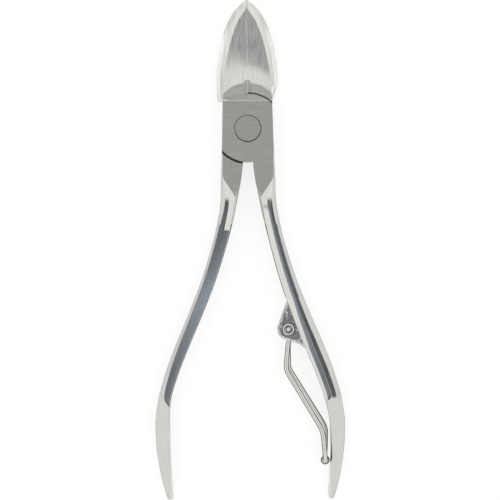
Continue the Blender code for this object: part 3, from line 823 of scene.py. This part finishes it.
def shoulder_block(name):
    """Everything in front of the shoulder, and of the chamfer on the joint's edge."""
    reach, drop = FACE_CHAMFER
    half_width = 10
    top = JAW_TOP + 3
    profile = [
        (JOINT_TOP_Y, DEPTH), (JOINT_TOP_Y + reach, DEPTH - drop), (JOINT_TOP_Y + reach, SHOULDER_Z),
        (TIP_Y, SHOULDER_Z), (TIP_Y, top), (JOINT_TOP_Y, top),
    ]
    return skin(name, [[(x, y, z) for y, z in profile] for x in (-half_width, half_width)], SHOULDER)


def throat_outline():
    """A notch that is round at the cutting edges and open towards the joint."""
    root = PLATE_TOP_R - 0.3
    return arc(0, THROAT_Y, THROAT_R, 0, 180, 17) + [(-THROAT_R, root), (THROAT_R, root)]


def lug_outline():
    """The lug's rounded nose about the pin, and its flanks running into the handle."""
    flank = [(12.6, -44.0), (9.8, -45.0)]
    nose = arc(PIN_X, PIN_Y, LUG_R, 154, 264, 20)
    foot = arc(*LUG_FOOT_CENTRE, LUG_FOOT_R, 88, 25, 14)
    return flank + nose + foot + [(18.0, -62.5)]


def slot_outline():
    """The slot for the spring's eyes: round towards the handle, open towards the nose and downwards."""
    closed_side = arc(PIN_X, PIN_Y, SLOT_R, -20, 165, 24)
    return closed_side + [(4.0, PIN_Y + 0.7), (4.0, -64.0), (PIN_X + 2.5, -64.0)]


def lever(name, side, front):
    """One forging: side is the side its handle is on, and its jaw is on the other side."""
    body = handle(name, side, lugged=front)
    combine(body, "UNION", half_lap(name + "_plate", side))
    combine(body, "UNION", jaw(name + "_jaw", -side, tapered_root=not front))
    if front:
        low, high = MID - LUG_HALF_DEPTH, MID + LUG_HALF_DEPTH
        combine(body, "UNION", prism("lug", lug_outline(), low, high, FORGED, LUG_STEPS))
    slab = [(-30, -100), (30, -100), (30, 40), (-30, 40)]
    combine(body, "INTERSECT", prism(name + "_slab", slab, 0, DEPTH, SATIN))
    recess_z = (BELOW, MID + LAP_GAP / 2) if front else (MID - LAP_GAP / 2, ABOVE)
    # the recess takes the painted shade of the machined steel
    recess = prism(name + "_recess", circle(0, 0, SHOULDER_R, 192), *recess_z, MACHINED_PAINTED_SHADE)
    combine(body, "DIFFERENCE", recess)
    return body


def cut_spring_lug(body):
    """The slot for the spring's eyes and the holes for the collars."""
    # the slot and the collar hole take the painted shade of the machined steel
    slot = prism("spring_slot", slot_outline(), MID - SLOT_HALF_DEPTH, MID + SLOT_HALF_DEPTH, MACHINED_PAINTED_SHADE)
    combine(body, "DIFFERENCE", slot)
    hole = circle(PIN_X, PIN_Y, COLLAR_R + COLLAR_CLEARANCE, 48)
    combine(body, "DIFFERENCE", prism("collar_hole", hole, BELOW, ABOVE, MACHINED_PAINTED_SHADE))


def levers():
    """Both forgings, ground together with the jaws closed and bored for the rivet."""
    front_lever = lever("front_lever_body", 1, front=True)
    rear_lever = lever("rear_lever_body", -1, front=False)
    mouth = circle(*BORE_MOUTH_SHIFT, BORE_MOUTH_R, 96)
    tools = [
        shoulder_block("shoulder_grind"),
        hollow_block("hollow_grind"),
        # the bore and its mouths take the painted shade of the machined steel
        prism("pivot_bore", circle(0, 0, BORE_R, 96), BELOW, ABOVE, MACHINED_PAINTED_SHADE),
        prism("bore_mouth_front", mouth, DEPTH - BORE_MOUTH_DEPTH, ABOVE, MACHINED_PAINTED_SHADE),
        prism("bore_mouth_rear", mouth, BELOW, BORE_MOUTH_DEPTH, MACHINED_PAINTED_SHADE),
        prism("throat", throat_outline(), THROAT_Z, ABOVE, SHOULDER),
    ]
    for body in (front_lever, rear_lever):
        for tool in tools:
            combine(body, "DIFFERENCE", tool)
    cut_spring_lug(front_lever)
    guides = settle(front_lever) | settle(rear_lever)
    for tool in guides:
        bpy.data.objects.remove(tool)
    return crisp(front_lever), crisp(rear_lever)


# ================================================================ rivet, pin and collars
def pivot_rivet():
    """A plain rivet, a hair slimmer at its ground ends."""
    ease = RIVET_R - RING_R
    levels = [(0, ease), (BORE_MOUTH_DEPTH, ease), (BORE_MOUTH_DEPTH + ease, 0)]
    levels += [(DEPTH - z, by) for z, by in reversed(levels)]
    rings = [[(x, y, z) for x, y in circle(0, 0, RIVET_R - by, 96)] for z, by in levels]
    return crisp(skin("pivot_rivet_body", rings, rivet_steel()))


def spring_pin():
    """A pin with domed ends, which sit in the collars' recesses."""
    rings = []
    for end in (-1, 1):
        dome = []
        for degrees in (0, 25, 50, 70, 82):
            a = math.radians(degrees)
            height = PIN_HALF_LENGTH - PIN_DOME * (1 - math.sin(a))
            dome.append([(x, y, end * height) for x, y in circle(0, 0, PIN_R * math.cos(a) + PIN_EASE, 40)])
        rings += dome if end > 0 else dome[::-1]
    material = turned_steel("pin_steel", (0.74, 0.74, 0.73), (0.92, 0.92, 0.91), 0.42)
    return crisp(skin("spring_pin_body", rings, material, (PIN_X, PIN_Y, MID)), TURNED_SHARP_ANGLE)


def spring_collar(name, face, material):
    """A stepped ring set in one cheek of the lug; face is +1 for the front cheek and -1 for the rear one."""
    inner = SLOT_HALF_DEPTH + 0.1
    outer = LUG_HALF_DEPTH + COLLAR_PROUD
    floor = outer - COLLAR_RECESS_DEPTH
    profile = [
        (COLLAR_BORE_R, inner), (COLLAR_R, inner), (COLLAR_R, outer - COLLAR_SLOPE),
        (COLLAR_RECESS_R, outer), (COLLAR_RECESS_R, floor), (COLLAR_BORE_R, floor),
    ]
    points = eased([(r, face * z) for r, z in profile], COLLAR_ROUND)
    collar = turned(name, points, 64, material, (PIN_X, PIN_Y, MID))
    # the recess's wall and ledge take the painted shade of the machined steel
    painted_shade_recess = add_finish(collar, MACHINED_PAINTED_SHADE)
    for k, polygon in enumerate(collar.data.polygons):
        if k % len(points) // CORNER_POINTS in RECESS_CORNERS:
            polygon.material_index = painted_shade_recess
    return crisp(collar, ROUND_SHARP_ANGLE)


# ================================================================ wire and roller
def strand(bends):
    """One strand from its eye to the cross piece, as points (x, y, offset from the mid-plane)."""
    points = [(x, y, EYE_HALF_SPACING) for x, y in arc(PIN_X, PIN_Y, EYE_R, EYE_START, EYE_END, 40)]
    corners = bends + [(ROLLER_X, ROLLER_Y + END_BEND_R)]
    depth_at = [EYE_HALF_SPACING + 0.05, 1.0, END_HALF_SPACING, END_HALF_SPACING]
    route = [points[-1]] + [(x, y, depth) for (x, y), depth in zip(corners, depth_at)]
    for before, corner, after, reach in zip(route, route[1:], route[2:], BEND_REACH):
        points += bend(toward(corner, before, reach), corner, toward(corner, after, reach), 14)
    return points + [route[-1]]


def wire_path():
    """One hairpin: a hooked eye, a strand, the cross piece in the roller, a strand and a hooked eye."""
    front = strand(FRONT_BENDS)
    rear = [(x, y, -depth) for x, y, depth in strand(REAR_BENDS)]
    turn = []
    for degrees in range(15, 91, 15):
        a = math.radians(degrees)
        depth = END_HALF_SPACING - END_BEND_R * (1 - math.cos(a))
        turn.append((ROLLER_X, ROLLER_Y + END_BEND_R * (1 - math.sin(a)), depth))
    path = front + turn + [(x, y, -depth) for x, y, depth in reversed(turn)] + list(reversed(rear))
    return [Vector((x, y, MID + depth)) for x, y, depth in path]


def spring_wire():
    """Round wire swept along its path, with a section that doesn't twist."""
    path = wire_path()
    across = Vector((0, 0, 1))
    rings = []
    for k, point in enumerate(path):
        ahead = (path[min(k + 1, len(path) - 1)] - path[max(k - 1, 0)]).normalized()
        across = (across - ahead * across.dot(ahead)).normalized()
        up = ahead.cross(across)
        rings.append([point + WIRE_R * (across * math.cos(a) + up * math.sin(a))
                      for a in (2 * math.pi * j / WIRE_SIDES for j in range(WIRE_SIDES))])
    wire = skin("spring_wire_body", rings, drawn_wire_steel())
    flank = add_finish(wire, PAINTED_DARK_REFLECTION)
    # the wire's flanks are painted with dark reflection, and its crests keep the bright wire steel
    for k, face in enumerate(wire.data.polygons[:-2]):
        height = math.cos(2 * math.pi * (k % WIRE_SIDES + 0.5) / WIRE_SIDES)
        if abs(height) < WIRE_CREST:
            face.material_index = flank
    return crisp(wire, ROUND_SHARP_ANGLE)


def spring_roller():
    """A barrel roller that turns on the wire's cross piece."""
    outside = []
    for z in spaced(-1, 1, 13):
        outside.append((ROLLER_R - ROLLER_CROWN * abs(z) ** 3, ROLLER_HALF_LENGTH * z))
    profile = [(ROLLER_BORE_R, -ROLLER_HALF_LENGTH)] + outside + [(ROLLER_BORE_R, ROLLER_HALF_LENGTH)]
    material = turned_steel("roller_steel", (0.80, 0.79, 0.77), (0.92, 0.91, 0.89), 0.1)
    roller = turned("spring_roller_body", profile, 64, material, (ROLLER_X, ROLLER_Y, MID))
    dark = add_finish(roller, PAINTED_DARK_REFLECTION)
    # rows near the barrel's ends are painted with dark reflection
    end_row = len(profile) - 2
    for k, face in enumerate(roller.data.polygons):
        row = k % len(profile)
        if 1 <= min(row, end_row - row) <= ROLLER_DARK_ROWS:
            face.material_index = dark
    return crisp(roller, TURNED_SHARP_ANGLE)


# ================================================================ the nipper
def place(piece, body, node, slot):
    """A piece rides on its body and stands for its CAD node; slot is not used."""
    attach(piece, body)
    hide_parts(node)


def nipper():
    """Every piece, on its body and in place of its CAD node."""
    front_lever, rear_lever = levers()
    collar_steel = turned_steel("collar_steel", (0.80, 0.80, 0.79), (0.92, 0.92, 0.91), 0.12)
    place(front_lever, "front_lever", "front_lever", "front_lever_steel")
    place(rear_lever, "rear_lever", "rear_lever", "rear_lever_steel")
    place(pivot_rivet(), "front_lever", "pivot_rivet", "rivet_steel")
    place(spring_pin(), "front_lever", "spring_pin", "pin_steel")
    for end, face in (("front", 1), ("rear", -1)):
        collar = spring_collar(f"spring_collar_{end}_body", face, collar_steel)
        place(collar, "front_lever", f"spring_collar_{end}", "collar_steel")
    place(spring_wire(), "spring", "spring_wire", "wire_steel")
    place(spring_roller(), "roller", "spring_roller", "roller_steel")


# ================================================================ studio
def sky():
    """A white tent with a dark opening overhead, which mirror faces lying flat reflect."""
    world = bpy.data.worlds.new("tent")
    world.use_nodes = True
    bpy.context.scene.world = world
    nodes, links = world.node_tree.nodes, world.node_tree.links
    # colours by the angle from straight up, in degrees
    stops = [
        (0.0, (0.33, 0.37, 0.42)), (4.0, (0.21, 0.23, 0.255)), (7.6, (0.07, 0.075, 0.08)),
        (9.0, (0.28, 0.26, 0.245)), (11.0, (0.66, 0.655, 0.63)), (16.0, (0.84, 0.835, 0.815)),
        (60.0, (0.82, 0.82, 0.81)), (76.0, (0.66, 0.66, 0.655)), (92.0, (0.68, 0.68, 0.68)),
    ]
    direction = nodes.new("ShaderNodeTexCoord")
    split = nodes.new("ShaderNodeSeparateXYZ")
    angle = nodes.new("ShaderNodeMath")
    angle.operation = "ARCCOSINE"
    share = nodes.new("ShaderNodeMath")
    share.operation = "DIVIDE"
    share.inputs[1].default_value = math.pi
    ramp = nodes.new("ShaderNodeValToRGB")
    elements = ramp.color_ramp.elements
    while len(elements) < len(stops):
        elements.new(1.0)
    for element, (degrees, colour) in zip(elements, stops):
        element.position = degrees / 180
        element.color = (*colour, 1)
    links.new(direction.outputs["Generated"], split.inputs["Vector"])
    links.new(split.outputs["Z"], angle.inputs[0])
    links.new(angle.outputs[0], share.inputs[0])
    links.new(share.outputs[0], ramp.inputs["Fac"])
    links.new(ramp.outputs["Color"], nodes["Background"].inputs["Color"])
    nodes["Background"].inputs["Strength"].default_value = 1.0


def floor():
    """A plain pale light table under the nipper."""
    half = 1500
    shape = bmesh.new()
    corners = [(-half, -half), (half, -half), (half, half), (-half, half)]
    shape.faces.new([shape.verts.new((x, y, -FLOOR_GAP)) for x, y in corners])
    material = bpy.data.materials.new("floor_white")
    material.use_nodes = True
    shader = material.node_tree.nodes["Principled BSDF"]
    shader.inputs["Base Color"].default_value = (0.3, 0.3, 0.3, 1)
    shader.inputs["Roughness"].default_value = 0.9
    shader.inputs["Specular IOR Level"].default_value = 0.1
    shader.inputs["Emission Color"].default_value = (1, 1, 1, 1)
    shader.inputs["Emission Strength"].default_value = 0.75
    plane = solid("floor", shape, material)


def lamp():
    """A very soft overhead light that whitens the floor, and isn't seen in the polished steel."""
    light = bpy.data.lights.new("softbox", "SUN")
    light.energy = 0.5
    light.angle = math.radians(60)
    thing = bpy.data.objects.new("softbox", light)
    thing.visible_glossy = False
    bpy.context.scene.collection.objects.link(thing)


def camera():
    """A long lens straight above, turned a little so that the nipper leans as it does in the picture."""
    lens = bpy.data.cameras.new("camera")
    lens.lens = 200
    lens.sensor_width = 36
    picture_width = 130.5       # what the picture takes in at the nipper's mid-plane
    roll = math.radians(0.5)
    aim_x = 0.324
    aim_y = -31.66
    height = picture_width * lens.lens / lens.sensor_width + MID
    thing = bpy.data.objects.new("camera", lens)
    thing.location = (aim_x * MM, aim_y * MM, height * MM)
    thing.rotation_euler = (0, 0, -roll)
    lens.clip_start = 0.01
    lens.clip_end = 10
    bpy.context.scene.collection.objects.link(thing)
    bpy.context.scene.camera = thing


nipper()
sky()
floor()
lamp()
camera()
bpy.context.scene.view_settings.view_transform = "Standard"
